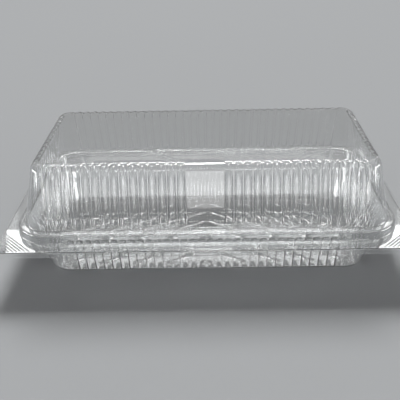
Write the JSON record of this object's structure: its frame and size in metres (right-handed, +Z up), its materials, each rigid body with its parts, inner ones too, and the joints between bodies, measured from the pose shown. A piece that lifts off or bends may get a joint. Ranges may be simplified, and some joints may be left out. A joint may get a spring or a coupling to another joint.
{
  "type": "plastic clamshell pack",
  "caption": "Clear thermoformed food pack: a shallow fluted tray, a tall fluted lid that nests over its rim, and a moulded hinge strip along the back.",
  "frame": {"origin": "centre of the pack's bounding box, on the surface that the tray stands on", "axes": "+X along the long side, -Y towards the opening edge, +Z up"},
  "size_m": [0.2446, 0.1398, 0.0724],
  "materials": {
    "tray_film": "clear gloss sheet",
    "lid_film": "clear gloss sheet",
    "hinge_film": "clear gloss sheet"
  },
  "bodies": {
    "base": {"base_tray": "tray_film", "hinge_web": "hinge_film"},
    "lid": {"lid": "lid_film"}
  },
  "joints": [
    {"name": "lid_hinge", "type": "hinge", "parent": "base", "child": "lid", "pos_m": [0, 0.07015, 0.02955], "axis": [-1, 0, 0], "range_deg": [0, 155], "deforming": ["hinge_web"]}
  ]
}
